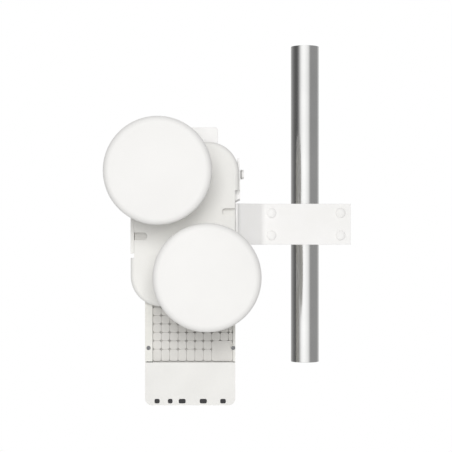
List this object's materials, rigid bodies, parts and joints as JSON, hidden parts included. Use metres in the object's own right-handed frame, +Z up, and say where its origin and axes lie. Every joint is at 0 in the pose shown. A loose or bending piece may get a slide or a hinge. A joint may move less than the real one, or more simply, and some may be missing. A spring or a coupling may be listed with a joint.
{
  "type": "outdoor wireless bridge",
  "caption": "Pole-mounted outdoor radio bridge with round radomes on a rounded head, a finned lower radio unit, a swivel mast clamp and a port bay with a hinged door.",
  "frame": {"origin": "the mast's axis at the middle height of the mast clamp", "axes": "+Z up along the mast, -Y the way the radomes look, +X to the right for someone who faces the radomes"},
  "size_m": [0.5035, 0.409, 0.7567],
  "materials": {
    "white_paint": "fine-textured white powder coat",
    "cover_white": "satin moulded plastic",
    "cast_white": "die-cast aluminium, powder coated off-white",
    "sink_white": "die-cast aluminium, thin grey-white coat",
    "dark_steel": "blackened",
    "radome_white": "smooth satin moulded plastic",
    "stainless": "polished tube with fine lengthwise grain",
    "zinc": "zinc-plated",
    "bare_aluminium": "spun or machined",
    "brass": "turned",
    "board_green": "solder mask",
    "rubber_black": "moulded seal",
    "black_plastic": "moulded, satin",
    "cream_plastic": "machined or moulded plastic"
  },
  "bodies": {
    "mast": {"mast_pipe": "stainless"},
    "clamp": {"clamp_arm": "white_paint", "front_saddle": "white_paint", "rear_jaw": "white_paint", "clamp_bolt_1": "white_paint", "clamp_bolt_2": "white_paint", "clamp_bolt_3": "white_paint", "clamp_bolt_4": "white_paint", "clamp_nut_1": "zinc", "clamp_nut_2": "zinc", "clamp_nut_3": "zinc", "clamp_nut_4": "zinc", "pivot_pin": "zinc", "tilt_lock_pin": "zinc"},
    "radio": {"side_bracket": "white_paint", "top_bracket": "white_paint", "link_strap": "white_paint", "side_bolt_upper": "white_paint", "side_bolt_lower": "white_paint", "front_cover": "cover_white", "notch_blank": "cover_white", "rear_chassis": "cast_white", "neck_upper": "cast_white", "neck_lower": "cast_white", "unit_case": "cast_white", "unit_bezel": "cast_white", "dish_upper": "cast_white", "dish_lower": "cast_white", "front_heat_sink": "sink_white", "radome_upper": "radome_white", "radome_lower": "radome_white", "hinge_pin_left": "stainless", "hinge_pin_right": "stainless", "bezel_screw_left": "dark_steel", "bezel_screw_right": "dark_steel", "transceiver_upper": "bare_aluminium", "transceiver_lower": "bare_aluminium", "port_shelf": "bare_aluminium", "data_port": "bare_aluminium", "fibre_port": "bare_aluminium", "feed_tube_upper": "brass", "feed_tube_lower": "brass", "ground_screw": "brass", "radio_board": "board_green", "main_board": "board_green", "radome_seal_upper": "rubber_black", "radome_seal_lower": "rubber_black", "head_gasket": "rubber_black", "power_port": "black_plastic", "reset_switch": "black_plastic", "splash_plate_upper": "cream_plastic", "splash_plate_lower": "cream_plastic"},
    "door": {"port_door": "cover_white", "status_window_1": "black_plastic", "status_window_2": "black_plastic", "status_window_3": "black_plastic", "status_window_4": "black_plastic", "status_window_5": "black_plastic"},
    "button": {"reset_button": "cream_plastic"}
  },
  "joints": [
    {"name": "azimuth_turn", "type": "hinge", "parent": "mast", "child": "clamp", "pos_m": [0, 0, 0], "axis": [0, 0, 1], "continuous": true},
    {"name": "elevation_tilt", "type": "hinge", "parent": "clamp", "child": "radio", "pos_m": [-0.15, -0.114, 0], "axis": [1, 0, 0], "range_deg": [-20, 20]},
    {"name": "door_swing", "type": "hinge", "parent": "radio", "child": "door", "pos_m": [-0.24425, -0.1295, -0.291], "axis": [-1, 0, 0], "range_deg": [0, 100]},
    {"name": "button_press", "type": "slide", "parent": "radio", "child": "button", "axis": [0, 0, 1], "range_m": [0, 0.0012], "stiffness_N_per_m": 800, "springref_m": -0.0005}
  ]
}
